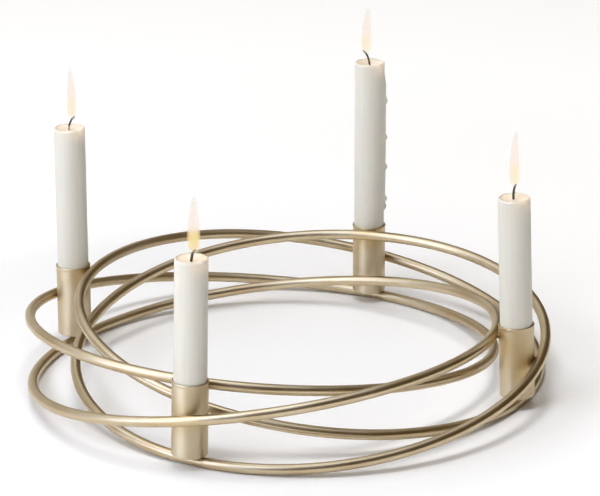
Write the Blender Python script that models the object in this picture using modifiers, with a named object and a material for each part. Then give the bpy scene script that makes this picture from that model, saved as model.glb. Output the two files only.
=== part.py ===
# Advent wreath: four interlaced metal rings that lean on the table, four cups between them,
# and a burning candle in each cup. Metres, +Z up, table at z = 0, origin under the middle.
import math

import bmesh
import bpy
from mathutils import Vector

MM = 0.001
WELD_DISTANCE = 0.01 * MM
SMOOTH_ANGLE = math.radians(40.0)

# Rings: round rod bent to a circle, a little oval and warped from the bending.
RING_RADIUS = 162.0 * MM
ROD_RADIUS = 3.6 * MM
RING_POINTS = 96
ROD_PROFILE_RESOLUTION = 4
FOOT_FLAT_DEPTH = 0.15 * MM
TABLE_CUTTER_SIDE = 600.0 * MM
TABLE_CUTTER_DEPTH = 20.0 * MM

# Cups: thin tube with a floor, standing on the low point of the ring below it.
CUP_RADIUS = 12.0 * MM
CUP_HEIGHT = 51.5 * MM
CUP_WALL = 0.7 * MM
CUP_FLOOR = 1.5 * MM
CUP_EDGE = 0.25 * MM
TURNED_STEPS = 32

# Candles: 22 mm household candles that have burned down to different heights.
CANDLE_RADIUS = 11.0 * MM
CANDLE_CLEARANCE = 0.3 * MM
CANDLE_SHOULDER = 1.0 * MM
CANDLE_FOOT_CHAMFER = 0.6 * MM
DISH_PARTS = (0.0, 0.3, 0.55, 0.75, 0.88)
DISH_EDGE = 0.95
DISH_FALL = 1.2
RUN_RADIUS = 1.9 * MM
RUN_STAND = 1.0 * MM
RUN_SEGMENTS = 10

# Wicks and flames.
WICK_RADIUS = 0.75 * MM
WICK_POINTS = 9
WICK_PROFILE_RESOLUTION = 2
FLAME_STEPS = 16
FLAME_BELLY = 0.55
FLAME_PARTS = (0.95, 0.86, 0.75, 0.63, 0.51, 0.40, 0.29, 0.19, 0.10, 0.04)
FLAME_GAP = 0.3 * MM

# Each ring rests at its lowest point, which lies opposite the direction in which it climbs.
# centre: of the ring's axis, in plan; tilt and climb in degrees; oval and warp: how far the rod
# strays from a flat circle, in and out of its plane.
RINGS = {
    "front": {"centre": (16.5, -15.8), "tilt": 9.3, "climb": 69.0,
              "oval": (0.3, -1.2), "warp": (-1.2, 0.0), "finish": (0.50, 0.41, 0.28)},
    "right": {"centre": (16.6, 16.3), "tilt": 9.6, "climb": 157.4,
              "oval": (0.6, 0.6), "warp": (0.9, -0.2), "finish": (0.47, 0.38, 0.25)},
    "back": {"centre": (-16.5, 16.6), "tilt": 8.8, "climb": 233.7,
             "oval": (2.0, -1.6), "warp": (-0.3, -0.5), "finish": (0.52, 0.43, 0.30)},
    "left": {"centre": (-15.3, -15.8), "tilt": 8.8, "climb": 322.4,
             "oval": (-0.6, -0.1), "warp": (0.2, -1.2), "finish": (0.49, 0.40, 0.27)},
}

# foot: the middle of the cup's base; lean: degrees by which its top leans towards -X;
# candle: from the base of the cup to the candle's rim; dish: depth of its melted top;
# wick: points across and above the candle's rim; flame: offset of its base and tip from the
# candle's axis, its height and its radius; runs: wax that ran down the side, as the angle round
# the candle in degrees and the heights below the rim where it starts and ends.
STATIONS = {
    "front": {"foot": (-63.7, -154.2, 7.9), "lean": -1.6, "candle": 134.8, "dish": 2.6,
              "wick": ((-0.1, -2.2), (0.2, 0.0), (0.6, 2.2), (1.5, 4.3), (2.6, 5.6)),
              "flame": {"base": 1.8, "tip": 1.4, "height": 33.0, "radius": 3.8}, "runs": ()},
    "right": {"foot": (157.0, -57.8, 8.0), "lean": 1.9, "candle": 141.4, "dish": 1.8,
              "wick": ((-0.4, -1.4), (-0.4, 1.5), (-0.1, 4.4), (0.5, 7.0), (1.5, 9.0)),
              "flame": {"base": 1.3, "tip": 2.0, "height": 34.6, "radius": 2.9}, "runs": ()},
    "back": {"foot": (62.0, 154.3, 7.8), "lean": -0.2, "candle": 176.4, "dish": 3.0,
             "wick": ((0.0, -2.6), (-0.5, 0.6), (-1.5, 4.0), (-3.1, 6.9), (-5.1, 8.8)),
             "flame": {"base": -4.5, "tip": -1.4, "height": 30.0, "radius": 3.7},
             "runs": ((-14.0, 12.0, 59.0), (4.0, 40.0, 82.0), (-24.0, 66.0, 104.0))},
    "left": {"foot": (-152.5, 67.3, 9.2), "lean": -0.4, "candle": 153.6, "dish": 2.4,
             "wick": ((-0.3, -2.0), (-0.2, 0.6), (0.6, 3.4), (2.1, 6.2), (4.0, 8.0)),
             "flame": {"base": 3.4, "tip": 1.5, "height": 32.4, "radius": 2.8}, "runs": ()},
}


def clear_scene():
    for obj in list(bpy.data.objects):
        bpy.data.objects.remove(obj, do_unlink=True)


def new_collection(name):
    collection = bpy.data.collections.new(name)
    bpy.context.scene.collection.children.link(collection)
    return collection


def material(name, color, roughness, metallic):
    made = bpy.data.materials.new(name)
    made.use_nodes = True
    shader = made.node_tree.nodes["Principled BSDF"]
    shader.inputs["Base Color"].default_value = (*color, 1.0)
    shader.inputs["Roughness"].default_value = roughness
    shader.inputs["Metallic"].default_value = metallic
    return made


def add_object(name, data, collection, finish=None, parent=None):
    obj = bpy.data.objects.new(name, data)
    collection.objects.link(obj)
    obj.parent = parent
    if finish is not None:
        data.materials.append(finish)
    return obj


def smooth(obj):
    obj.data.shade_smooth()
    obj.data.set_sharp_from_angle(angle=SMOOTH_ANGLE)


def curve_to_mesh(obj):
    """Replace a curve object by a closed mesh of the same name, place and material."""
    depsgraph = bpy.context.evaluated_depsgraph_get()
    mesh = bpy.data.meshes.new_from_object(obj.evaluated_get(depsgraph))
    welder = bmesh.new()
    welder.from_mesh(mesh)
    bmesh.ops.remove_doubles(welder, verts=welder.verts, dist=WELD_DISTANCE)
    bmesh.ops.recalc_face_normals(welder, faces=welder.faces)
    welder.to_mesh(mesh)
    welder.free()
    name = obj.name
    collection = obj.users_collection[0]
    world = obj.matrix_world.copy()
    bpy.data.objects.remove(obj, do_unlink=True)
    solid = bpy.data.objects.new(name, mesh)
    collection.objects.link(solid)
    solid.matrix_world = world
    smooth(solid)
    return solid


def ring_points(ring):
    """Points of the rod's centre line in the ring's own plane; +X is the way it climbs."""
    points = []
    for step in range(RING_POINTS):
        angle = 2.0 * math.pi * step / RING_POINTS
        along = math.cos(2.0 * angle)
        across = math.sin(2.0 * angle)
        radius = RING_RADIUS + (ring["oval"][0] * along + ring["oval"][1] * across) * MM
        lift = (ring["warp"][0] * along + ring["warp"][1] * across) * MM
        points.append((radius * math.cos(angle), radius * math.sin(angle), lift))
    return points


def rod_curve(name, points, radius, profile_resolution, closed):
    curve = bpy.data.curves.new(name, "CURVE")
    curve.dimensions = "3D"
    curve.twist_mode = "Z_UP" if closed else "MINIMUM"
    curve.bevel_depth = radius
    curve.bevel_resolution = profile_resolution
    curve.use_fill_caps = not closed
    spline = curve.splines.new("POLY")
    spline.points.add(len(points) - 1)
    for point, place in zip(spline.points, points):
        point.co = (*place, 1.0)
    spline.use_cyclic_u = closed
    return curve


def make_ring(name, ring, table_cutter, collection):
    finish = material("satin_brass_" + name, ring["finish"], 0.32, 1.0)
    points = ring_points(ring)
    curve = rod_curve("ring_" + name, points, ROD_RADIUS, ROD_PROFILE_RESOLUTION, True)
    obj = add_object("ring_" + name, curve, collection, finish)
    obj.rotation_euler = (0.0, -math.radians(ring["tilt"]), math.radians(ring["climb"]))
    leaning = obj.rotation_euler.to_matrix()
    lowest = min((leaning @ Vector(point)).z for point in points)
    resting_height = ROD_RADIUS - FOOT_FLAT_DEPTH - lowest
    obj.location = (ring["centre"][0] * MM, ring["centre"][1] * MM, resting_height)
    bpy.context.view_layer.update()
    solid = curve_to_mesh(obj)
    flat = solid.modifiers.new("foot_flat", "BOOLEAN")
    flat.operation = "DIFFERENCE"
    flat.object = table_cutter
    return solid


def make_table_cutter(collection):
    bpy.ops.mesh.primitive_cube_add(size=1.0, location=(0.0, 0.0, -TABLE_CUTTER_DEPTH / 2.0))
    cutter = bpy.context.object
    cutter.name = "cut_table"
    cutter.scale = (TABLE_CUTTER_SIDE, TABLE_CUTTER_SIDE, TABLE_CUTTER_DEPTH)
    for owner in list(cutter.users_collection):
        owner.objects.unlink(cutter)
    collection.objects.link(cutter)
    cutter.hide_render = True
    cutter.display_type = "WIRE"
    return cutter


def turned(name, profile, steps, collection, finish, parent):
    """A solid turned from a profile in the XZ plane, listed so that its outer side runs down."""
    mesh = bpy.data.meshes.new(name)
    edges = [(i, i + 1) for i in range(len(profile) - 1)]
    mesh.from_pydata([(x, 0.0, z) for x, z in profile], edges, [])
    obj = add_object(name, mesh, collection, finish, parent)
    screw = obj.modifiers.new("turn", "SCREW")
    screw.axis = "Z"
    screw.steps = steps
    screw.render_steps = steps
    screw.use_merge_vertices = True
    screw.merge_threshold = WELD_DISTANCE
    screw.use_smooth_shade = True
    return obj


def make_cup(name, collection, parent):
    inner = CUP_RADIUS - CUP_WALL
    profile = [
        (0.0, CUP_FLOOR),
        (inner, CUP_FLOOR),
        (inner, CUP_HEIGHT - CUP_EDGE),
        (inner + CUP_EDGE / 2.0, CUP_HEIGHT),
        (CUP_RADIUS - CUP_EDGE, CUP_HEIGHT),
        (CUP_RADIUS, CUP_HEIGHT - CUP_EDGE),
        (CUP_RADIUS, 2.0 * CUP_EDGE),
        (CUP_RADIUS - 2.0 * CUP_EDGE, 0.0),
        (0.0, 0.0),
    ]
    finish = material("satin_brass_cup_" + name, (0.55, 0.45, 0.30), 0.34, 1.0)
    return turned("cup_" + name, profile, TURNED_STEPS, collection, finish, parent)


def candle_profile(foot, rim, dish):
    """From the middle of the melted top out over the rim and down to the foot."""
    profile = []
    for part in DISH_PARTS:
        sink = dish * math.cos(part / DISH_EDGE * math.pi / 2.0) ** DISH_FALL
        profile.append((CANDLE_RADIUS * part, rim - sink))
    for turn in (90.0, 55.0, 25.0, 0.0):
        angle = math.radians(turn)
        profile.append((CANDLE_RADIUS - CANDLE_SHOULDER * (1.0 - math.cos(angle)),
                        rim - CANDLE_SHOULDER * (1.0 - math.sin(angle))))
    profile.append((CANDLE_RADIUS, foot + CANDLE_FOOT_CHAMFER))
    profile.append((CANDLE_RADIUS - CANDLE_FOOT_CHAMFER, foot))
    profile.append((0.0, foot))
    return profile


def run_of_wax(name, rim, run, cutters, parent):
    """One run of wax: a long drop half sunk in the candle's side."""
    angle, top, bottom = math.radians(run[0]), run[1] * MM, run[2] * MM
    stand = CANDLE_RADIUS + RUN_STAND - RUN_RADIUS
    drop = bmesh.new()
    bmesh.ops.create_uvsphere(drop, u_segments=RUN_SEGMENTS, v_segments=RUN_SEGMENTS, radius=1.0)
    bmesh.ops.scale(drop, vec=(RUN_RADIUS, RUN_RADIUS, (bottom - top) / 2.0), verts=drop.verts)
    mesh = bpy.data.meshes.new(name)
    drop.to_mesh(mesh)
    drop.free()
    obj = add_object(name, mesh, cutters, None, parent)
    obj.location = (stand * math.cos(angle), stand * math.sin(angle), rim - (top + bottom) / 2.0)
    obj.hide_render = True
    obj.display_type = "WIRE"
    return obj


def make_candle(name, station, collection, cutters, parent):
    foot = CUP_FLOOR + CANDLE_CLEARANCE
    rim = station["candle"] * MM
    profile = candle_profile(foot, rim, station["dish"] * MM)
    finish = material("candle_wax_" + name, (0.90, 0.89, 0.84), 0.45, 0.0)
    obj = turned("candle_" + name, profile, TURNED_STEPS, collection, finish, parent)
    for number, run in enumerate(station["runs"]):
        drop = run_of_wax(f"run_{name}_{number + 1}", rim, run, cutters, parent)
        join = obj.modifiers.new(f"run_{number + 1}", "BOOLEAN")
        join.operation = "UNION"
        join.object = drop
    return obj


def smooth_path(points, count):
    """Points along a smooth curve through a short list of hand-set points."""
    path = []
    last = len(points) - 1
    for step in range(count):
        place = step * last / (count - 1)
        i = min(int(place), last - 1)
        t = place - i
        p0 = points[max(i - 1, 0)]
        p1 = points[i]
        p2 = points[i + 1]
        p3 = points[min(i + 2, last)]
        path.append(0.5 * (2.0 * p1 + (p2 - p0) * t + (2.0 * p0 - 5.0 * p1 + 4.0 * p2 - p3) * t ** 2
                           + (3.0 * p1 - p0 - 3.0 * p2 + p3) * t ** 3))
    return path


def make_wick(name, station, collection, parent):
    rim = station["candle"] * MM
    marks = [Vector((x * MM, 0.0, rim + z * MM)) for x, z in station["wick"]]
    points = [tuple(place) for place in smooth_path(marks, WICK_POINTS)]
    finish = material("charred_wick_" + name, (0.06, 0.05, 0.04), 0.95, 0.0)
    curve = rod_curve("wick_" + name, points, WICK_RADIUS, WICK_PROFILE_RESOLUTION, False)
    obj = add_object("wick_" + name, curve, collection, finish, parent)
    bpy.context.view_layer.update()
    return curve_to_mesh(obj)


def make_flame(name, station, collection, parent):
    flame = station["flame"]
    height = flame["height"] * MM
    radius = flame["radius"] * MM
    foot = (station["candle"] + station["wick"][-1][1]) * MM + WICK_RADIUS + FLAME_GAP
    profile = [(0.0, height)]
    for part in FLAME_PARTS:
        profile.append((radius * math.sin(math.pi * part ** FLAME_BELLY), height * part))
    profile.append((0.0, 0.0))
    finish = material("flame_" + name, (1.0, 0.78, 0.42), 0.5, 0.0)
    obj = turned("flame_" + name, profile, FLAME_STEPS, collection, finish, parent)
    slant = math.atan2((flame["tip"] - flame["base"]) * MM, height)
    obj.location = (flame["base"] * MM, 0.0, foot)
    obj.rotation_euler = (0.0, slant, 0.0)
    return obj


def make_station(name, station, collection, cutters):
    """Cup, candle, wick and flame share one axis, which leans a little."""
    axis = bpy.data.objects.new("station_" + name, None)
    collection.objects.link(axis)
    axis.location = tuple(value * MM for value in station["foot"])
    axis.rotation_euler = (0.0, -math.radians(station["lean"]), 0.0)
    bpy.context.view_layer.update()
    make_cup(name, collection, axis)
    make_candle(name, station, collection, cutters, axis)
    make_wick(name, station, collection, axis)
    make_flame(name, station, collection, axis)


def main():
    clear_scene()
    parts = new_collection("advent_wreath")
    cutters = new_collection("cutters")
    table_cutter = make_table_cutter(cutters)
    for name, ring in RINGS.items():
        make_ring(name, ring, table_cutter, parts)
    for name, station in STATIONS.items():
        make_station(name, station, parts, cutters)


main()
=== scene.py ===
import math

import bmesh
import bpy
from mathutils import Euler, Matrix, Quaternion, Vector, noise


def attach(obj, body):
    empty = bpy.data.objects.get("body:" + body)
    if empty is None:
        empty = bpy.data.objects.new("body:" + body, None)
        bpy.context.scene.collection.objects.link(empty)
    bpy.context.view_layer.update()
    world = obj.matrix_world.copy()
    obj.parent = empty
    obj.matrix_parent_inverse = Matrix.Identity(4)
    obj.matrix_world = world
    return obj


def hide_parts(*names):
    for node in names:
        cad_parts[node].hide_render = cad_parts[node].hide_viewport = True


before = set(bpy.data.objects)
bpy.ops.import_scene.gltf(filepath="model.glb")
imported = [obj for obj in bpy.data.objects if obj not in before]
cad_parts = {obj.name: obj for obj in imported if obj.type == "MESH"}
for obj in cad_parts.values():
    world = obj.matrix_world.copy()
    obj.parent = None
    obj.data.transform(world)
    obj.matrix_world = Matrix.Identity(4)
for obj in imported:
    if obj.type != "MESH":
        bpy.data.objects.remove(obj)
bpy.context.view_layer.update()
print("frame loaded,", len(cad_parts), "nodes")

mm = 0.001
spots = ("front", "right", "back", "left")

# The rods, as bent: centre in plan and wander in mm, tilt and the way of climbing in degrees.
rods = {
    "radius": 3.6, "bend": 162.0, "flat": 0.15, "points": 480, "coarse": 96, "sides": 28,
    "front": {"centre": (16.5, -15.8), "tilt": 9.3, "climb": 69.0, "oval": (0.3, -1.2), "warp": (-1.2, 0.0)},
    "right": {"centre": (16.6, 16.3), "tilt": 9.6, "climb": 157.4, "oval": (0.6, 0.6), "warp": (0.9, -0.2)},
    "back": {"centre": (-16.5, 16.6), "tilt": 8.8, "climb": 233.7, "oval": (2.0, -1.6), "warp": (-0.3, -0.5)},
    "left": {"centre": (-15.3, -15.8), "tilt": 8.8, "climb": 322.4, "oval": (-0.6, -0.1), "warp": (0.2, -1.2)},
}

# Where each cup stands in mm, how many degrees it leans to the left, and how high above the cup's foot the
# candle's rim is.
stands = {
    "front": {"foot": (-63.7, -154.2, 7.9), "lean": -1.6, "rim": 134.8},
    "right": {"foot": (157.0, -57.8, 8.0), "lean": 1.9, "rim": 141.4},
    "back": {"foot": (62.0, 154.3, 7.8), "lean": -0.2, "rim": 176.4},
    "left": {"foot": (-152.5, 67.3, 9.2), "lean": -0.4, "rim": 153.6},
}


def axisOf(spot):  # the leaning upright that a cup, its candle, wick and flame share
    stand = stands[spot]
    foot = Vector(stand["foot"]) * mm
    lean = Euler((0.0, -math.radians(stand["lean"]), 0.0)).to_matrix().to_4x4()
    return Matrix.Translation(foot) @ lean


def newPiece(name, mesh, node, finish):
    piece = bpy.data.objects.new(name, mesh)
    bpy.context.scene.collection.objects.link(piece)
    mesh.materials.append(finish)
    mesh.shade_smooth()
    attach(piece, "root")
    if node:
        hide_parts(node)
    return piece


# Grid of points to a closed skin. rows[i][j] is a point, u and v in metres go to the grain map.
def skin(name, rows, closedRows, ends):
    form = bmesh.new()
    grain = form.loops.layers.uv.new("grainMap")
    across = len(rows[0])
    verts = [[form.verts.new(point) for point in row] for row in rows]
    lengths = [0.0]
    for a, b in zip(rows, rows[1:] + rows[:1]):
        lengths.append(lengths[-1] + (b[0] - a[0]).length)
    girth = max(sum((row[j] - row[j - 1]).length for j in range(across)) for row in rows)
    for i in range(len(rows) if closedRows else len(rows) - 1):
        nextRow = verts[(i + 1) % len(rows)]
        for j in range(across):
            k = (j + 1) % across
            face = form.faces.new((verts[i][j], verts[i][k], nextRow[k], nextRow[j]))
            spans = ((i, j), (i, j + 1), (i + 1, j + 1), (i + 1, j))
            for loop, (along, around) in zip(face.loops, spans):
                loop[grain].uv = (lengths[along], girth * around / across)
    if ends:
        for row in (verts[0], verts[-1]):
            middle = form.verts.new(sum((v.co for v in row), Vector()) / across)
            for j in range(across):
                form.faces.new((row[j], row[(j + 1) % across], middle))
    bmesh.ops.recalc_face_normals(form, faces=form.faces)
    mesh = bpy.data.meshes.new(name)
    form.to_mesh(mesh)
    form.free()
    return mesh


# A round bar along a path. Its section is carried along without twist, from a first side direction.
def barRows(path, radii, sides, closed, sideways):
    rows = []
    count = len(path)
    for i, point in enumerate(path):
        before = path[i - 1] if closed or i > 0 else point
        after = path[(i + 1) % count] if closed or i < count - 1 else point
        ahead = (after - before).normalized()
        sideways = (sideways - ahead * sideways.dot(ahead)).normalized()
        upward = ahead.cross(sideways)
        radius = radii[i] if isinstance(radii, list) else radii
        turn = [2.0 * math.pi * j / sides for j in range(sides)]
        rows.append([point + (sideways * math.cos(t) + upward * math.sin(t)) * radius for t in turn])
    return rows


# A lathe: profile points (radius, height) in metres, shift(angle, radius, height) moves single points.
def latheRows(profile, steps, place, shift=None):
    rows = []
    for radius, height in profile:
        row = []
        for j in range(steps):
            angle = 2.0 * math.pi * j / steps
            r, z = shift(angle, radius, height) if shift else (radius, height)
            row.append(place @ Vector((r * math.cos(angle), r * math.sin(angle), z)))
        rows.append(row)
    return rows


def arc(cx, cz, radius, start, stop, count):  # quarter rounds for profiles, degrees
    points = []
    for i in range(count):
        a = math.radians(start + (stop - start) * i / (count - 1))
        points.append((cx + radius * math.cos(a), cz + radius * math.sin(a)))
    return points


def newFinish(name):
    finish = bpy.data.materials.new(name)
    finish.use_nodes = True
    tree = finish.node_tree
    return finish, tree, tree.nodes["Principled BSDF"]


def addNode(tree, kind, links=(), **settings):
    node = tree.nodes.new(kind)
    for name, value in settings.items():
        setattr(node, name, value)
    for socket, source in links:
        if hasattr(source, "is_output"):
            tree.links.new(source, node.inputs[socket])
        else:
            node.inputs[socket].default_value = source
    return node


def addRamp(tree, source, stops):
    ramp = addNode(tree, "ShaderNodeValToRGB", [("Fac", source)])
    steps = ramp.color_ramp.elements
    while len(steps) < len(stops):
        steps.new(0.5)
    for step, (place, tone) in zip(steps, stops):
        step.position = place
        step.color = (*tone, 1.0) if len(tone) == 3 else tone
    return ramp


# Satin brass: a polishing grain along the metal, small clouds in tone and gloss, and fine pits.
# The metal is straw-coloured where brazing heated it: heatReach is how far from each joint, in metres,
# heatEdge how ragged that is, and heated how strong on the rods and on each cup. marks are further hot
# places on the cups, in degrees round the cup and mm above its foot.
brass = {
    "roughSpread": 0.04, "grainDepth": 0.00002, "grainRelief": 0.35, "speckScale": 900.0, "speckShare": 0.5,
    "cloudScale": 34.0, "cloudStops": (0.32, 0.5, 0.68), "heatEdge": 0.02,
    "rod": {"grain": (26.0, 2600.0), "roughness": 0.34, "brushing": 0.55, "brushed": 0.0,
            "dull": (0.54, 0.415, 0.255), "tone": (0.58, 0.468, 0.30), "worn": (0.625, 0.522, 0.352)},
    "cup": {"grain": (2600.0, 26.0), "roughness": 0.48, "brushing": 0.65, "brushed": 0.25,
            "dull": (0.61, 0.50, 0.325), "tone": (0.66, 0.552, 0.374), "worn": (0.695, 0.59, 0.415)},
    "heat": (0.60, 0.445, 0.215), "heatReach": (0.001, 0.020),
    "heated": {"rod": 0.7, "front": 0.4, "right": 0.7, "back": 0.6, "left": 0.65},
    "marks": {"front": ((-78.0, 27.0),), "right": ((-150.0, 44.0), (-75.0, 24.0)), "back": ((-105.0, 47.0),),
              "left": ((-40.0, 46.0),)},
}


def brassFinish(kind, spot, joints):
    finish, tree, shader = newFinish(kind + "Brass" + spot.capitalize())
    work = brass[kind]
    place = addNode(tree, "ShaderNodeTexCoord").outputs["Object"]
    lines = addNode(tree, "ShaderNodeUVMap", uv_map="grainMap").outputs["UV"]
    stretched = addNode(tree, "ShaderNodeMapping", [("Vector", lines), ("Scale", (*work["grain"], 1.0))])
    grain = addNode(tree, "ShaderNodeTexNoise", [("Vector", stretched.outputs["Vector"]), ("Scale", 1.0),
                                                 ("Detail", 4.0), ("Roughness", 0.6)])
    clouds = addNode(tree, "ShaderNodeTexNoise", [
        ("Vector", place), ("Scale", brass["cloudScale"]), ("Detail", 3.0)])
    specks = addNode(tree, "ShaderNodeTexNoise", [
        ("Vector", place), ("Scale", brass["speckScale"]), ("Detail", 2.0)])
    shades = (work["dull"], work["tone"], work["worn"])
    tones = addRamp(tree, clouds.outputs["Fac"], list(zip(brass["cloudStops"], shades)))
    colour = tones.outputs["Color"]
    ragged = brass["heatEdge"]
    near, far = (reach + ragged / 2.0 for reach in brass["heatReach"])  # the noise is 0.5 on average
    for joint in joints:
        away = addNode(tree, "ShaderNodeVectorMath", [(0, place), (1, joint)], operation="DISTANCE")
        uneven = addNode(tree, "ShaderNodeMath", [
            (0, clouds.outputs["Fac"]), (1, ragged), (2, away.outputs["Value"])], operation="MULTIPLY_ADD")
        warm = addNode(tree, "ShaderNodeMapRange", [
            ("Value", uneven.outputs["Value"]), ("From Min", near), ("From Max", far),
            ("To Min", brass["heated"][spot or kind]), ("To Max", 0.0)], interpolation_type="SMOOTHSTEP")
        tinted = addNode(tree, "ShaderNodeMix", [
            ("Factor", warm.outputs["Result"]), ("A", colour), ("B", (*brass["heat"], 1.0))],
            data_type="RGBA")
        colour = tinted.outputs["Result"]
    tree.links.new(colour, shader.inputs["Base Color"])
    blend = addNode(tree, "ShaderNodeMath", [(0, grain.outputs["Fac"]), (1, clouds.outputs["Fac"])],
                    operation="ADD")
    low, high = work["roughness"] - brass["roughSpread"], work["roughness"] + brass["roughSpread"]
    gloss = addNode(tree, "ShaderNodeMapRange", [("Value", blend.outputs["Value"]), ("From Min", 0.6),
                                                 ("From Max", 1.4), ("To Min", low), ("To Max", high)])
    tree.links.new(gloss.outputs["Result"], shader.inputs["Roughness"])
    fine = addNode(tree, "ShaderNodeMath", [
        (0, specks.outputs["Fac"]), (1, brass["speckShare"]), (2, grain.outputs["Fac"])],
        operation="MULTIPLY_ADD")
    relief = addNode(tree, "ShaderNodeBump", [
        ("Height", fine.outputs["Value"]), ("Strength", brass["grainRelief"]),
        ("Distance", brass["grainDepth"])])
    tree.links.new(relief.outputs["Normal"], shader.inputs["Normal"])
    shader.inputs["Metallic"].default_value = 1.0
    shader.inputs["Anisotropic"].default_value = work["brushing"]
    shader.inputs["Anisotropic Rotation"].default_value = work["brushed"]
    return finish


def rodPath(spot, count):
    rod = rods[spot]
    leaning = Euler((0.0, -math.radians(rod["tilt"]), math.radians(rod["climb"]))).to_matrix()
    path = []
    for i in range(count):
        angle = 2.0 * math.pi * i / count
        along, across = math.cos(2.0 * angle), math.sin(2.0 * angle)
        reach = rods["bend"] + rod["oval"][0] * along + rod["oval"][1] * across
        lift = rod["warp"][0] * along + rod["warp"][1] * across
        path.append(leaning @ Vector((reach * math.cos(angle), reach * math.sin(angle), lift)) * mm)
    return path, leaning @ Vector((0.0, 0.0, 1.0))


def rodLine(spot):  # the rod's centre line where it stands, and the upright of its plane
    rod = rods[spot]
    coarse, upright = rodPath(spot, rods["coarse"])
    path, upright = rodPath(spot, rods["points"])
    resting = (rods["radius"] - rods["flat"]) * mm - min(point.z for point in coarse)
    move = Vector((rod["centre"][0] * mm, rod["centre"][1] * mm, resting))
    return [point + move for point in path], upright


def makeRod(spot, finish):
    path, upright = rodLines[spot]
    rows = barRows(path, rods["radius"] * mm, rods["sides"], True, upright)
    for row in rows:
        for point in row:
            point.z = max(point.z, 0.0)  # the worn flat where it rests
    mesh = skin("rod" + spot.capitalize(), rows, True, False)
    newPiece("rod" + spot.capitalize(), mesh, "ring_" + spot, finish)


# Cups: turned tubes with a floor, a rounded foot and a rolled lip, in mm. jointReach: a rod that passes
# this close is brazed to the cup.
cups = {
    "radius": 12.0, "height": 51.5, "wall": 0.7, "floor": 1.5, "foot": 0.9, "steps": 120, "jointReach": 0.9,
    "lip": 0.35, "roll": 0.3, "rollEnd": 0.9, "rollStart": 1.5, "corner": 1.0, "hub": 0.5, "jointSink": 0.1,
}


# Where rods pass tight against a cup: the place, the rod's way and the way out of the cup.
def findJoints(spot):
    axis = axisOf(spot)
    upright = (axis.to_3x3() @ Vector((0.0, 0.0, 1.0))).normalized()
    foot = axis.translation
    touch = (cups["radius"] + rods["radius"] + cups["jointReach"]) * mm
    joints = []
    for other in spots:
        path = rodLines[other][0]
        gaps = []
        for point in path:
            height = (point - foot).dot(upright)
            inside = 0.0 < height < cups["height"] * mm
            gaps.append((point - foot - upright * height).length if inside else 1.0)
        i = min(range(len(path)), key=lambda n: gaps[n])
        if gaps[i] > touch:
            continue
        height = (path[i] - foot).dot(upright)
        outward = (path[i] - foot - upright * height).normalized()
        along = (path[(i + 1) % len(path)] - path[i - 1]).normalized()
        along = (along - outward * along.dot(outward)).normalized()
        place = foot + upright * height + outward * (cups["radius"] + cups["jointSink"]) * mm
        joints.append((place, along, outward))
    return joints


def makeCup(spot, joints):
    outer, inner = cups["radius"], cups["radius"] - cups["wall"]
    top, foot, lip, hub = cups["height"], cups["foot"], cups["lip"], cups["hub"]
    floor, corner = cups["floor"], cups["corner"]
    profile = [(hub, floor), (inner - corner, floor)]
    profile += arc(inner - corner, floor + corner, corner, -90.0, 0.0, 5)
    profile += [(inner, top * part) for part in (0.2, 0.5, 0.8, 0.95)]
    profile += arc(inner + lip, top - lip, lip, 180.0, 90.0, 4)
    rolled = outer + cups["roll"]
    profile += arc(rolled - lip, top - lip, lip, 90.0, 0.0, 5)
    profile += [(rolled, top - cups["rollEnd"]), (outer, top - cups["rollStart"])]
    profile += [(outer, top * part) for part in (0.94, 0.8, 0.6, 0.4, 0.2, 0.06)]
    profile += arc(outer - foot, foot, foot, 0.0, -90.0, 6)
    profile += [(outer * 0.5, 0.0), (hub, 0.0)]
    rows = latheRows([(r * mm, z * mm) for r, z in profile], cups["steps"], axisOf(spot))
    mesh = skin("cup" + spot.capitalize(), rows, False, True)
    warmed = [joint[0] for joint in joints]
    for degrees, height in brass["marks"][spot]:
        turn = math.radians(degrees)
        warmed.append(axisOf(spot) @ (Vector((outer * math.cos(turn), outer * math.sin(turn), height)) * mm))
    finish = brassFinish("cup", spot, warmed)
    newPiece("cup" + spot.capitalize(), mesh, "cup_" + spot, finish)


rodLines = {spot: rodLine(spot) for spot in spots}
cupJoints = {spot: findJoints(spot) for spot in spots}
rodBrass = brassFinish("rod", "", [joint[0] for spot in spots for joint in cupJoints[spot]])
for spot in spots:
    makeRod(spot, rodBrass)
print("rods bent")
for spot in spots:
    makeCup(spot, cupJoints[spot])
print("cups turned")

# Welds: a small fillet of filler where a rod passes tight against a cup, browned by heat. long, high and
# deep are half its size, in mm.
welds = {
    "long": 3.3, "high": 1.9, "deep": 1.3, "ripple": 0.16, "rippleScale": 2.3, "tone": (0.15, 0.095, 0.045),
    "toneEdge": (0.36, 0.25, 0.125), "toneScale": 420.0, "toneStops": (0.35, 0.7), "roughness": 0.42,
    "relief": 0.5, "reliefDepth": 0.0001,
}


def weldFinish():
    finish, tree, shader = newFinish("weldBrass")
    place = addNode(tree, "ShaderNodeTexCoord").outputs["Object"]
    clouds = addNode(tree, "ShaderNodeTexNoise", [
        ("Vector", place), ("Scale", welds["toneScale"]), ("Detail", 3.0)])
    shades = (welds["tone"], welds["toneEdge"])
    tones = addRamp(tree, clouds.outputs["Fac"], list(zip(welds["toneStops"], shades)))
    tree.links.new(tones.outputs["Color"], shader.inputs["Base Color"])
    relief = addNode(tree, "ShaderNodeBump", [
        ("Height", clouds.outputs["Fac"]), ("Strength", welds["relief"]), ("Distance", welds["reliefDepth"])])
    tree.links.new(relief.outputs["Normal"], shader.inputs["Normal"])
    shader.inputs["Metallic"].default_value = 1.0
    shader.inputs["Roughness"].default_value = welds["roughness"]
    return finish


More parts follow.
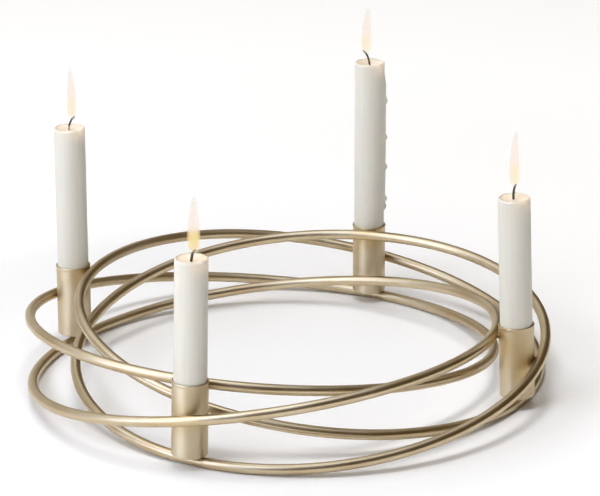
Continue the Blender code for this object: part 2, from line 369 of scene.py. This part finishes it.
def weldMesh(name, centre, along, outward):
    upward = along.cross(outward).normalized()
    turn = Matrix((along, outward, upward)).transposed()
    form = bmesh.new()
    bmesh.ops.create_icosphere(form, subdivisions=4, radius=1.0)
    for vert in form.verts:
        ripple = 1.0 + welds["ripple"] * noise.noise(vert.co * welds["rippleScale"] + centre * 900.0)
        size = Vector((welds["long"], welds["deep"], welds["high"])) * mm * ripple
        vert.co = centre + turn @ Vector([value * scale for value, scale in zip(vert.co, size)])
    mesh = bpy.data.meshes.new(name)
    form.to_mesh(mesh)
    form.free()
    return mesh


def makeWelds(spot, finish):
    for i, (centre, along, outward) in enumerate(cupJoints[spot]):
        name = "weld" + spot.capitalize() + str(i + 1)
        newPiece(name, weldMesh(name, centre, along, outward), None, finish)


weldBrass = weldFinish()
for spot in spots:
    makeWelds(spot, weldBrass)
print("welds laid:", sum(len(joints) for joints in cupJoints.values()))

# Candles: dipped wax, a shallow melted top with an uneven rim, and tears of wax down the tallest one.
# runs: angle round the candle in degrees, where the tear starts and ends below the rim, and how far it
# stands out, in mm. width and swell are degrees round the candle, bead the length of the drop at its end.
candles = {
    "radius": 11.0, "clear": 0.3, "shoulder": 1.6, "chamfer": 0.6, "sway": 0.10, "steps": 160, "rows": 150,
    "rimDepth": 4.5, "width": 6.5, "swell": 4.5, "bead": 3.2, "beadUp": 2.2, "wander": 2.2,
    "front": {"dish": 2.6, "lip": 0.9, "runs": ()},
    "right": {"dish": 1.8, "lip": 0.8, "runs": ()},
    "back": {"dish": 3.0, "lip": 1.3, "runs": (
        (-12.0, 12.0, 59.0, 2.2), (4.0, 40.0, 83.0, 2.2), (-16.0, 66.0, 106.0, 2.4), (-4.0, 17.0, 31.0, 1.6),
        (0.0, 90.0, 113.0, 1.5))},
    "left": {"dish": 2.4, "lip": 1.2, "runs": ()},
}

# Flame light is painted on the wax near its rim: the colour is mixed towards paintedFlameLightTone and a warm
# emission is added, as though lit from within by the flame. paintedLightDepth: how far down that painted light
# reaches, in metres.
# paintedLightSides: the share that the left and the right of the candle get; the right gets more, where the
# lamps leave
# the wax dim. paintedLightDish: the melted top's share, fading out over paintedLightDishEdge, in metres.
wax = {
    "tone": (0.735, 0.722, 0.655), "toneCool": (0.705, 0.694, 0.633), "paintedFlameLightTone": (0.76, 0.70, 0.585),
    "streaks": (14.0, 420.0), "streakStops": (0.36, 0.64), "paintedLightDepth": 0.017, "paintedLightSides": (0.15, 1.0),
    "paintedLightDish": 0.66,
    "scatter": (0.0036, 0.0024, 0.0012), "scatterShare": 0.38, "roughness": 0.38,
    "paintedGlow": (1.0, 0.77, 0.60), "paintedGlowStrength": 0.30, "paintedGlowFade": 1.6, "paintedLightSideEdge": (-0.007, 0.010),
    "paintedLightDishEdge": (0.0075, 0.0108), "patchScale": 90.0, "dipScale": (700.0, 700.0, 90.0), "dipRelief": 0.25,
    "dipDepth": 0.00012, "gloss": (-0.06, 0.1), "ior": 1.44,
}


def tear(angle, below, run):  # how far one run of wax stands out at this place
    middle, start, stop, height = run
    off = (math.degrees(angle) - middle + 180.0) % 360.0 - 180.0
    wander = candles["wander"] * math.sin(below * 0.21 + middle)
    drop = max(0.0, 1.0 - abs(below - (stop - candles["beadUp"])) / candles["bead"])
    width = candles["width"] + candles["swell"] * drop ** 0.7
    if not start - 3.0 < below < stop + 1.2:
        return 0.0
    fade = min(1.0, (below - start + 3.0) / 8.0) * min(1.0, (stop + 1.2 - below) / 1.6)
    across = math.exp(-((off - wander) / width) ** 2)
    return height * across * fade ** 0.6 * (0.55 + 0.75 * drop)


def makeCandle(spot, finish):
    candle = candles[spot]
    rim = stands[spot]["rim"]
    radius, foot = candles["radius"], cups["floor"] + candles["clear"]
    dish, shoulder = candle["dish"], candles["shoulder"]
    profile = [(0.4, rim - dish)]
    for i in range(1, 13):
        part = 0.04 + 0.84 * i / 12
        profile.append((radius * part, rim - dish * math.cos(part / 0.95 * math.pi / 2.0) ** 1.2))
    profile += arc(radius - shoulder, rim - shoulder, shoulder, 92.0, 0.0, 7)
    side = candles["rows"]
    chamfer = candles["chamfer"]
    tall = rim - shoulder - foot - chamfer
    profile += [(radius, rim - shoulder - tall * i / side) for i in range(1, side + 1)]
    profile += [(radius - chamfer, foot), (0.4, foot)]
    seed = Vector((stands[spot]["foot"][0], stands[spot]["foot"][1], 0.0))

    def shift(angle, r, z):
        r, z = r / mm, z / mm
        facing = Vector((math.cos(angle), math.sin(angle), 0.0))
        outer = min(1.0, max(0.0, (r - radius * 0.7) / (radius * 0.3)))
        above = min(1.0, max(0.0, (z - cups["height"] - 3.0) / 6.0))
        below = rim - z
        if r > radius - 0.2 and above > 0.0:
            swell = noise.noise(facing * 1.1 + Vector((0.0, 0.0, z * 0.035)) + seed)
            fine = noise.noise(facing * 3.0 + Vector((0.0, 0.0, z * 0.16)) + seed)
            r += above * candles["sway"] * (swell + 0.35 * fine)
            r += sum(tear(angle, below, run) for run in candle["runs"])
        if below < candles["rimDepth"]:
            wave = noise.noise(facing * 2.1 + seed) + 0.8 * noise.noise(facing * 5.3 + seed)
            z += candle["lip"] * wave * outer * (1.0 - below / candles["rimDepth"])
        return r * mm, z * mm

    rows = latheRows([(r * mm, z * mm) for r, z in profile], candles["steps"], axisOf(spot), shift)
    mesh = skin("candle" + spot.capitalize(), rows, False, True)
    newPiece("candle" + spot.capitalize(), mesh, "candle_" + spot, finish)


# Flame light is painted into the wax near the rim, so each candle has its own finish with its own rim height.
def waxFinish(spot):
    finish, tree, shader = newFinish("candleWax" + spot.capitalize())
    place = addNode(tree, "ShaderNodeTexCoord").outputs["Object"]
    parts = addNode(tree, "ShaderNodeSeparateXYZ", [("Vector", place)]).outputs
    top = axisOf(spot) @ Vector((0.0, 0.0, stands[spot]["rim"] * mm))
    # Painted flame light: a share for each place, highest near the rim, on the right and in the melted top.
    near = addNode(tree, "ShaderNodeMapRange", [
        ("Value", parts["Z"]), ("From Min", top.z - wax["paintedLightDepth"]), ("From Max", top.z + 0.001)],
        interpolation_type="SMOOTHERSTEP")
    drawn = addNode(tree, "ShaderNodeUVMap", uv_map="grainMap").outputs["UV"]
    stretched = addNode(tree, "ShaderNodeMapping", [("Vector", drawn), ("Scale", (*wax["streaks"], 1.0))])
    streaks = addNode(tree, "ShaderNodeTexNoise", [("Vector", stretched.outputs["Vector"]), ("Scale", 1.0),
                                                   ("Detail", 4.0)])
    shades = (wax["toneCool"], wax["tone"])
    tones = addRamp(tree, streaks.outputs["Fac"], list(zip(wax["streakStops"], shades)))
    patches = addNode(tree, "ShaderNodeTexNoise", [
        ("Vector", place), ("Scale", wax["patchScale"]), ("Detail", 2.0)])
    uneven = addNode(tree, "ShaderNodeMapRange", [("Value", patches.outputs["Fac"]), ("From Min", 0.35),
                                                  ("From Max", 0.65), ("To Min", 0.4), ("To Max", 1.0)])
    less, most = wax["paintedLightSides"]
    left, right = wax["paintedLightSideEdge"]
    paintedLightBySide = addNode(tree, "ShaderNodeMapRange", [
        ("Value", parts["X"]), ("From Min", top.x + left), ("From Max", top.x + right), ("To Min", less),
        ("To Max", most)], interpolation_type="SMOOTHSTEP")
    patchyPaintedLight = addNode(tree, "ShaderNodeMath", [(0, paintedLightBySide.outputs["Result"]), (1, uneven.outputs["Result"])],
                     operation="MULTIPLY")
    paintedLightNearRim = addNode(tree, "ShaderNodeMath", [(0, near.outputs["Result"]), (1, patchyPaintedLight.outputs["Value"])],
                    operation="MULTIPLY")
    inner, outer = wax["paintedLightDishEdge"]
    away = addNode(tree, "ShaderNodeVectorMath", [(0, place), (1, top)], operation="DISTANCE")
    dish = addNode(tree, "ShaderNodeMapRange", [
        ("Value", away.outputs["Value"]), ("From Min", inner), ("From Max", outer),
        ("To Min", wax["paintedLightDish"]), ("To Max", 0.0)], interpolation_type="SMOOTHSTEP")
    warm = addNode(tree, "ShaderNodeMath", [(0, paintedLightNearRim.outputs["Value"]), (1, dish.outputs["Result"])],
                   operation="MAXIMUM")
    # The painted flame light tints the wax's colour towards the warm tone.
    waxWithPaintedLight = addNode(tree, "ShaderNodeMix", [("Factor", warm.outputs["Value"]), ("A", tones.outputs["Color"]),
                                            ("B", (*wax["paintedFlameLightTone"], 1.0))], data_type="RGBA")
    tree.links.new(waxWithPaintedLight.outputs["Result"], shader.inputs["Base Color"])
    # The same painted light is also added as emission, so the wax near the flame shines though it is no lamp.
    faded = addNode(tree, "ShaderNodeMath", [(0, warm.outputs["Value"]), (1, wax["paintedGlowFade"])],
                    operation="POWER")
    paintedGlow = addNode(tree, "ShaderNodeMath", [(0, faded.outputs["Value"]), (1, wax["paintedGlowStrength"])],
                   operation="MULTIPLY")
    tree.links.new(paintedGlow.outputs["Value"], shader.inputs["Emission Strength"])
    shader.inputs["Emission Color"].default_value = (*wax["paintedGlow"], 1.0)
    scratches = addNode(tree, "ShaderNodeMapping", [("Vector", place), ("Scale", wax["dipScale"])])
    dips = addNode(tree, "ShaderNodeTexNoise", [("Vector", scratches.outputs["Vector"]), ("Scale", 1.0),
                                                ("Detail", 3.0)])
    relief = addNode(tree, "ShaderNodeBump", [
        ("Height", dips.outputs["Fac"]), ("Strength", wax["dipRelief"]), ("Distance", wax["dipDepth"])])
    tree.links.new(relief.outputs["Normal"], shader.inputs["Normal"])
    smooth, rough = (wax["roughness"] + part for part in wax["gloss"])
    gloss = addNode(tree, "ShaderNodeMapRange", [
        ("Value", dips.outputs["Fac"]), ("From Min", 0.3), ("From Max", 0.7), ("To Min", smooth),
        ("To Max", rough)])
    tree.links.new(gloss.outputs["Result"], shader.inputs["Roughness"])
    shader.inputs["Subsurface Weight"].default_value = wax["scatterShare"]
    shader.inputs["Subsurface Radius"].default_value = wax["scatter"]
    shader.inputs["Subsurface Scale"].default_value = 1.0
    shader.inputs["IOR"].default_value = wax["ior"]
    return finish


waxFinishes = {spot: waxFinish(spot) for spot in spots}
for spot in spots:
    makeCandle(spot, waxFinishes[spot])
print("candles dipped")

# Wicks: three charred strands twisted together, bent over by the flame. Each wick's points are its distance
# to the right of the candle's axis and its height above the rim, in mm. thick: its size against the others.
wicks = {
    "strands": 3, "strand": 0.42, "offset": 0.36, "turns": 2.6, "points": 90, "sides": 12,
    "thick": {"front": 1.22, "right": 1.08, "back": 1.0, "left": 1.0},
    "tipFrom": 0.85, "tipThinner": 0.45, "fray": 0.22, "crustScale": 1900.0, "crustRelief": 0.8,
    "crustDepth": 0.0002, "crustStops": (0.42, 0.72),
    "char": (0.042, 0.030, 0.022), "ash": (0.17, 0.14, 0.11), "roughness": 0.85,
    "pale": (0.42, 0.39, 0.34), "paleEdge": 0.0006,
    "paleTo": {"front": -3.0, "right": -1.5, "back": -2.0, "left": 1.2},
    "front": ((-0.1, -2.2), (0.2, 0.0), (0.6, 2.2), (1.5, 4.3), (2.6, 5.6)),
    "right": ((-0.4, -1.4), (-0.4, 1.5), (-0.1, 4.4), (0.5, 7.0), (1.5, 9.0)),
    "back": ((0.0, -2.6), (-0.5, 0.6), (-1.5, 4.0), (-3.1, 6.9), (-5.1, 8.8)),
    "left": ((-0.3, -2.0), (-0.2, 0.6), (0.6, 3.4), (2.1, 6.2), (4.0, 8.0)),
}


def smoothPath(marks, count):  # a smooth curve through the given points
    path, last = [], len(marks) - 1
    for step in range(count):
        place = step * last / (count - 1)
        i = min(int(place), last - 1)
        t = place - i
        p0, p1, p2, p3 = marks[max(i - 1, 0)], marks[i], marks[i + 1], marks[min(i + 2, last)]
        path.append(0.5 * (2.0 * p1 + (p2 - p0) * t + (2.0 * p0 - 5.0 * p1 + 4.0 * p2 - p3) * t ** 2
                           + (3.0 * p1 - p0 - 3.0 * p2 + p3) * t ** 3))
    return path


def wickPath(spot, count):
    rim = stands[spot]["rim"]
    return smoothPath([Vector((x, 0.0, rim + z)) * mm for x, z in wicks[spot]], count)


def makeWick(spot, finish):
    path = wickPath(spot, wicks["points"])
    place = axisOf(spot)
    made = bmesh.new()
    for strand in range(wicks["strands"]):
        line, radii = [], []
        for i, point in enumerate(path):
            part = i / (len(path) - 1)
            turn = 2.0 * math.pi * (strand / wicks["strands"] + wicks["turns"] * part)
            tip = max(0.0, part - wicks["tipFrom"]) / (1.0 - wicks["tipFrom"])
            close = wicks["thick"][spot] * (1.0 - wicks["tipThinner"] * tip)
            ahead = (path[min(i + 1, len(path) - 1)] - path[max(i - 1, 0)]).normalized()
            over = ahead.cross(Vector((0.0, 1.0, 0.0))).normalized()
            away = over * math.cos(turn) + Vector((0.0, 1.0, 0.0)) * math.sin(turn)
            line.append(place @ (point + away * wicks["offset"] * close * mm))
            fray = 1.0 + wicks["fray"] * noise.noise(point * 2400.0 + Vector((strand, 0.0, 0.0)))
            radii.append(wicks["strand"] * fray * close * mm)
        rows = barRows(line, radii, wicks["sides"], False, Vector((0.0, 1.0, 0.0)))
        made.from_mesh(skin("strand", rows, False, True))
    mesh = bpy.data.meshes.new("wick" + spot.capitalize())
    made.to_mesh(mesh)
    made.free()
    newPiece("wick" + spot.capitalize(), mesh, "wick_" + spot, finish)


# The wick is charred down to paleTo, in mm above the rim, and pale with wax below that. paleEdge: half the
# height of the change, in metres.
def wickFinish(spot):
    finish, tree, shader = newFinish("charredCotton" + spot.capitalize())
    place = addNode(tree, "ShaderNodeTexCoord").outputs["Object"]
    height = addNode(tree, "ShaderNodeSeparateXYZ", [("Vector", place)]).outputs["Z"]
    edge = (axisOf(spot) @ Vector((0.0, 0.0, (stands[spot]["rim"] + wicks["paleTo"][spot]) * mm))).z
    soft = wicks["paleEdge"]
    burnt = addNode(tree, "ShaderNodeMapRange", [
        ("Value", height), ("From Min", edge - soft), ("From Max", edge + soft)])
    crust = addNode(tree, "ShaderNodeTexNoise", [
        ("Vector", place), ("Scale", wicks["crustScale"]), ("Detail", 4.0)])
    tones = addRamp(tree, crust.outputs["Fac"], list(zip(wicks["crustStops"], (wicks["char"], wicks["ash"]))))
    both = addNode(tree, "ShaderNodeMix", [("Factor", burnt.outputs["Result"]), ("A", (*wicks["pale"], 1.0)),
                                           ("B", tones.outputs["Color"])], data_type="RGBA")
    tree.links.new(both.outputs["Result"], shader.inputs["Base Color"])
    relief = addNode(tree, "ShaderNodeBump", [
        ("Height", crust.outputs["Fac"]), ("Strength", wicks["crustRelief"]),
        ("Distance", wicks["crustDepth"])])
    tree.links.new(relief.outputs["Normal"], shader.inputs["Normal"])
    shader.inputs["Roughness"].default_value = wicks["roughness"]
    return finish


for spot in spots:
    makeWick(spot, wickFinish(spot))
print("wicks twisted")

# Flames: thin skins of glowing gas, one in the other. base and tip: distance from the candle's axis
# and height above its rim; radius: at the belly; bow: how far the middle swings out.
# layers: size and opacity of each skin, from the outside in; inset: how far a smaller skin draws in at its
# base and at its tip. tones and clear: where along the flame, from base to tip, the colours and the shares
# of that opacity stand.
flames = {
    "belly": 0.55, "blunt": 0.46, "steps": 48, "rows": 44, "inset": (0.10, 0.40),
    "layers": ((1.0, 0.30), (0.8, 0.30), (0.56, 0.44)), "names": ("flame", "flameInner", "flameCore"),
    "mid": (0.98, 0.855, 0.775), "tail": (0.85, 0.875, 0.78), "blue": (0.86, 0.86, 0.84),
    "tones": ((0.0, "blue"), (0.10, "hot"), (0.33, "hot"), (0.50, "mid"), (0.78, "mid"), (1.0, "tail")),
    "clear": ((0.0, 0.05), (0.14, 0.80), (0.28, 1.0), (0.7, 1.0), (1.0, 1.6)),
    "front": {"base": (1.6, 2.6), "tip": (1.4, 41.2), "radius": 4.2, "bow": -0.3, "hot": (0.97, 0.76, 0.36)},
    "right": {"base": (0.6, 6.6), "tip": (2.0, 46.4), "radius": 3.6, "bow": -0.6, "hot": (0.98, 0.84, 0.60)},
    "back": {"base": (-2.6, 5.6), "tip": (-1.4, 41.6), "radius": 3.9, "bow": -0.4, "hot": (0.98, 0.85, 0.63)},
    "left": {"base": (1.9, 5.2), "tip": (1.5, 43.8), "radius": 3.5, "bow": 0.3, "hot": (0.98, 0.85, 0.65)},
}


def makeFlame(spot, layer):
    flame = flames[spot]
    spread = flames["layers"][layer][0]
    place = axisOf(spot)
    rim = stands[spot]["rim"]
    base = Vector((flame["base"][0], 0.0, rim + flame["base"][1])) * mm
    tip = Vector((flame["tip"][0], 0.0, rim + flame["tip"][1])) * mm
    lower, higher = flames["inset"]
    tip = base.lerp(tip, 1.0 - higher + higher * spread)
    base = base.lerp(tip, lower * (1.0 - spread))
    path, radii = [], []
    for i in range(flames["rows"]):
        part = 0.004 + 0.992 * i / (flames["rows"] - 1)
        swing = Vector((flame["bow"] * mm * math.sin(math.pi * part), 0.0, 0.0))
        path.append(place @ (base.lerp(tip, part) + swing))
        swell = math.sin(math.pi * part ** flames["belly"]) ** flames["blunt"]
        radii.append(spread * flame["radius"] * mm * swell)
    rows = barRows(path, radii, flames["steps"], False, Vector((1.0, 0.0, 0.0)))
    return skin("flame", rows, False, True)


def flameFinish(spot, layer):
    name = "flame" + spot.capitalize() + str(layer)
    finish, tree, shader = newFinish(name)
    tree.nodes.remove(shader)
    flame = flames[spot]
    low = (axisOf(spot) @ Vector((0.0, 0.0, (stands[spot]["rim"] + flame["base"][1]) * mm))).z
    high = (axisOf(spot) @ Vector((0.0, 0.0, (stands[spot]["rim"] + flame["tip"][1]) * mm))).z
    place = addNode(tree, "ShaderNodeTexCoord").outputs["Object"]
    height = addNode(tree, "ShaderNodeSeparateXYZ", [("Vector", place)]).outputs["Z"]
    part = addNode(tree, "ShaderNodeMapRange", [("Value", height), ("From Min", low), ("From Max", high)])
    shades = {"hot": flame["hot"], "mid": flames["mid"], "tail": flames["tail"], "blue": flames["blue"]}
    tones = addRamp(tree, part.outputs["Result"], [(at, shades[tone]) for at, tone in flames["tones"]])
    share = flames["layers"][layer][1]
    steps = [(at, (share * amount,) * 3) for at, amount in flames["clear"]]
    opacity = addRamp(tree, part.outputs["Result"], steps)
    light = addNode(tree, "ShaderNodeEmission", [("Color", tones.outputs["Color"]), ("Strength", 1.0)])
    clear = addNode(tree, "ShaderNodeBsdfTransparent")
    both = addNode(tree, "ShaderNodeMixShader", [(0, opacity.outputs["Color"]), (1, clear.outputs["BSDF"]),
                                                 (2, light.outputs["Emission"])])
    tree.links.new(both.outputs["Shader"], tree.nodes["Material Output"].inputs["Surface"])
    return finish


for spot in spots:
    for layer in range(len(flames["layers"])):
        name = flames["names"][layer] + spot.capitalize()
        node = "flame_" + spot if layer == 0 else None
        newPiece(name, makeFlame(spot, layer), node, flameFinish(spot, layer))
print("flames lit")

# Studio: a white table with light painted on it as emission, a pale wall behind on the left and a dark
# warm room elsewhere. paintedTableLight: how strong that painted light is at each distance from
# paintedLightCentre, in metres; paintedShadeReach and paintedShadeDepth: how far from the rods that painted
# light is darkened into a painted shade, and how much. roomPale lies towards paleWay, from paleStart to
# paleFull, and fades to the right between duskStart and duskFull, where only the share dusk is left.
# mirrored: the light shows in the metal, as a big soft panel does. casts: it lights the table and the wax.
# turn: degrees that a light is turned about its own aim.
studio = {
    "table": (0.842, 0.855, 0.882), "tableSize": 14.0, "tableRoughness": 0.7, "tableGloss": 0.2,
    "paintedLightCentre": (-0.06, 0.02, 0.0),
    "paintedTableLight": ((0.0, 0.125), (0.17, 0.13), (0.23, 0.14), (0.27, 0.165), (0.31, 0.255), (0.42, 0.31),
                  (0.55, 0.34), (0.80, 0.42), (2.0, 0.53)),
    "aim": (0.0, 0.0, 0.05), "paintedShadeReach": 0.016, "paintedShadeDepth": 1.7,
    "roomDark": (0.10, 0.064, 0.022), "roomPale": (0.60, 0.572, 0.51), "paleWay": (-0.35, 0.65, 0.70),
    "paleStart": 0.15, "paleFull": 0.85, "duskStart": -0.10, "duskFull": 0.27, "dusk": 0.12,
    "key": {"place": (-0.12, -0.27, 2.0), "size": (1.2, 0.45), "turn": 67.0, "power": 18.4,
            "tone": (1.01, 1.0, 0.99), "mirrored": False, "casts": True},
    "main": {"place": (-1.29, -0.60, 1.10), "size": (1.5, 0.9), "power": 13.0, "tone": (0.94, 1.0, 1.15),
             "mirrored": False, "casts": True},
    "fill": {"place": (-0.66, -1.85, 0.78), "size": (0.9, 0.7), "power": 8.0, "tone": (1.0, 1.0, 1.0),
             "mirrored": False, "casts": True},
    "panel": {"place": (-0.35, -0.06, 1.25), "size": (1.25, 1.25), "power": 7.9, "tone": (0.90, 1.02, 1.26),
              "mirrored": True, "casts": False},
    "side": {"place": (-1.05, -0.68, 0.44), "size": (1.08, 0.75), "power": 7.3, "tone": (0.88, 1.03, 1.42),
             "mirrored": True, "casts": False},
    "upper": {"place": (-0.68, -0.46, 0.92), "size": (1.0, 0.57), "power": 3.8, "tone": (0.88, 1.03, 1.40),
              "mirrored": True, "casts": False},
    "flameLight": {"power": 0.004, "tone": (1.0, 0.62, 0.34), "size": 3.5, "above": 9.0},
}


def makeTable():
    half = studio["tableSize"] / 2.0
    form = bmesh.new()
    bmesh.ops.create_grid(form, x_segments=2, y_segments=2, size=half)
    mesh = bpy.data.meshes.new("tableTop")
    form.to_mesh(mesh)
    form.free()
    table = bpy.data.objects.new("tableTop", mesh)
    bpy.context.scene.collection.objects.link(table)
    finish, tree, shader = newFinish("whiteTable")
    shader.inputs["Base Color"].default_value = (*studio["table"], 1.0)
    shader.inputs["Roughness"].default_value = studio["tableRoughness"]
    shader.inputs["Specular IOR Level"].default_value = studio["tableGloss"]
    # The table's emission is painted light, weaker near paintedLightCentre and stronger further out.
    place = addNode(tree, "ShaderNodeTexCoord").outputs["Object"]
    away = addNode(tree, "ShaderNodeVectorMath", [(0, place), (1, studio["paintedLightCentre"])],
                   operation="DISTANCE")
    reach = studio["paintedTableLight"][-1][0]
    part = addNode(tree, "ShaderNodeMath", [(0, away.outputs["Value"]), (1, reach)], operation="DIVIDE")
    steps = [(at / reach, (amount,) * 3) for at, amount in studio["paintedTableLight"]]
    paintedLightRamp = addRamp(tree, part.outputs["Value"], steps)
    # Painted shade: ambient occlusion darkens the table's painted light close to the rods, in place of their
    # cast shade.
    paintedShadeAO = addNode(tree, "ShaderNodeAmbientOcclusion", [("Distance", studio["paintedShadeReach"])], samples=8)
    paintedShade = addNode(tree, "ShaderNodeMath", [(0, paintedShadeAO.outputs["AO"]), (1, studio["paintedShadeDepth"])],
                      operation="POWER")
    paintedGlow = addNode(tree, "ShaderNodeMath", [(0, paintedLightRamp.outputs["Color"]), (1, paintedShade.outputs["Value"])],
                   operation="MULTIPLY")
    tree.links.new(paintedGlow.outputs["Value"], shader.inputs["Emission Strength"])
    shader.inputs["Emission Color"].default_value = (1.0, 1.0, 1.0, 1.0)
    mesh.materials.append(finish)


def softBox(name):
    box = studio[name]
    light = bpy.data.lights.new(name, "AREA")
    light.shape = "RECTANGLE"
    light.size, light.size_y = box["size"]
    light.energy = box["power"]
    light.color = box["tone"]
    holder = bpy.data.objects.new(name, light)
    holder.location = box["place"]
    aim = Vector(studio["aim"]) - holder.location
    turned = Quaternion((0.0, 0.0, 1.0), math.radians(box.get("turn", 0.0)))
    holder.rotation_euler = (aim.to_track_quat("-Z", "Y") @ turned).to_euler()
    holder.visible_glossy = box["mirrored"]
    holder.visible_diffuse = box["casts"]
    bpy.context.scene.collection.objects.link(holder)


def flameLight(spot):
    lit = studio["flameLight"]
    light = bpy.data.lights.new("flameLight" + spot.capitalize(), "POINT")
    light.energy = lit["power"]
    light.color = lit["tone"]
    light.shadow_soft_size = lit["size"] * mm
    holder = bpy.data.objects.new("flameLight" + spot.capitalize(), light)
    flame = flames[spot]
    middle = Vector((flame["base"][0], 0.0, stands[spot]["rim"] + flame["base"][1] + lit["above"])) * mm
    holder.location = axisOf(spot) @ middle
    bpy.context.scene.collection.objects.link(holder)


def makeRoom():
    room = bpy.data.worlds.new("studioRoom")
    room.use_nodes = True
    tree = room.node_tree
    way = addNode(tree, "ShaderNodeTexCoord").outputs["Generated"]
    facing = addNode(tree, "ShaderNodeVectorMath", [(0, way), (1, Vector(studio["paleWay"]).normalized())],
                     operation="DOT_PRODUCT")
    part = addNode(tree, "ShaderNodeMapRange", [
        ("Value", facing.outputs["Value"]), ("From Min", studio["paleStart"]),
        ("From Max", studio["paleFull"])], interpolation_type="SMOOTHSTEP")
    across = addNode(tree, "ShaderNodeSeparateXYZ", [("Vector", way)]).outputs["X"]
    dusk = addNode(tree, "ShaderNodeMapRange", [
        ("Value", across), ("From Min", studio["duskStart"]), ("From Max", studio["duskFull"]),
        ("To Min", 1.0), ("To Max", studio["dusk"])], interpolation_type="SMOOTHSTEP")
    pale = addNode(tree, "ShaderNodeMath", [(0, part.outputs["Result"]), (1, dusk.outputs["Result"])],
                   operation="MULTIPLY")
    walls = addNode(tree, "ShaderNodeMix", [
        ("Factor", pale.outputs["Value"]), ("A", (*studio["roomDark"], 1.0)),
        ("B", (*studio["roomPale"], 1.0))], data_type="RGBA")
    tree.links.new(walls.outputs["Result"], tree.nodes["Background"].inputs["Color"])
    bpy.context.scene.world = room


makeTable()
for name in ("key", "main", "fill", "panel", "side", "upper"):
    softBox(name)
for spot in spots:
    flameLight(spot)
makeRoom()
print("studio lit")

# Camera: where the photographer stood, worked out from the rods' outlines. lens and sensor in mm.
view = {
    "place": (0.0, -1.90951, 0.76140), "right": (0.99994, -0.00785, -0.00729),
    "up": (0.00947, 0.32981, 0.944), "lens": 175.86, "sensor": 36.0, "farthest": 60.0,
    "shift": (-0.35 / 600.0, 0.7 / 600.0),
}


def makeCamera():
    lens = bpy.data.cameras.new("camera")
    lens.sensor_fit = "HORIZONTAL"
    lens.sensor_width = view["sensor"]
    lens.lens = view["lens"]
    lens.shift_x, lens.shift_y = view["shift"]
    lens.clip_end = view["farthest"]
    camera = bpy.data.objects.new("camera", lens)
    right, up = Vector(view["right"]).normalized(), Vector(view["up"])
    back = right.cross(up).normalized()
    up = back.cross(right)
    facing = Matrix((right, up, back)).transposed().to_4x4()
    camera.matrix_world = Matrix.Translation(view["place"]) @ facing
    bpy.context.scene.collection.objects.link(camera)
    bpy.context.scene.camera = camera


makeCamera()
bpy.context.scene.view_settings.view_transform = "Standard"
print("camera set")
